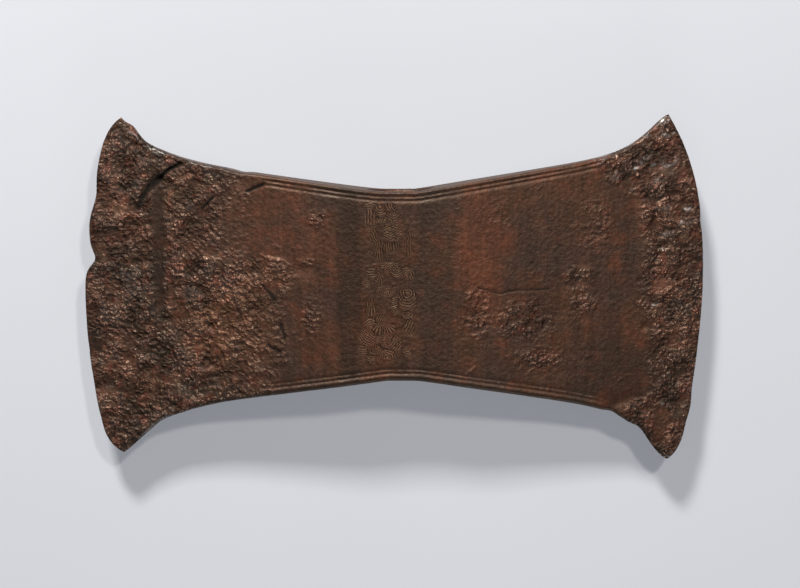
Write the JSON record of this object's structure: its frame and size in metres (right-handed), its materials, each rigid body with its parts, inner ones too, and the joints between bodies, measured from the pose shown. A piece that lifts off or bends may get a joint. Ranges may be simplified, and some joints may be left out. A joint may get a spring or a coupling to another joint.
{
  "type": "bronze double axe head",
  "caption": "Flaring double-bitted bronze axe head with an oval haft hole, paired edge grooves and an incised centre strip, worn and corroded.",
  "frame": {"origin": "on the plane the axe head lies on, under the middle of its bounding box", "axes": "+X towards the right cutting edge, +Y along the haft hole, +Z out of the face that shows"},
  "size_m": [0.25, 0.14, 0.031],
  "materials": {
    "patinated_bronze": "dark red-brown patina, smooth in the middle, rough and corroded on the blades"
  },
  "bodies": {
    "root": {"axe_head": "patinated_bronze"}
  },
  "joints": []
}
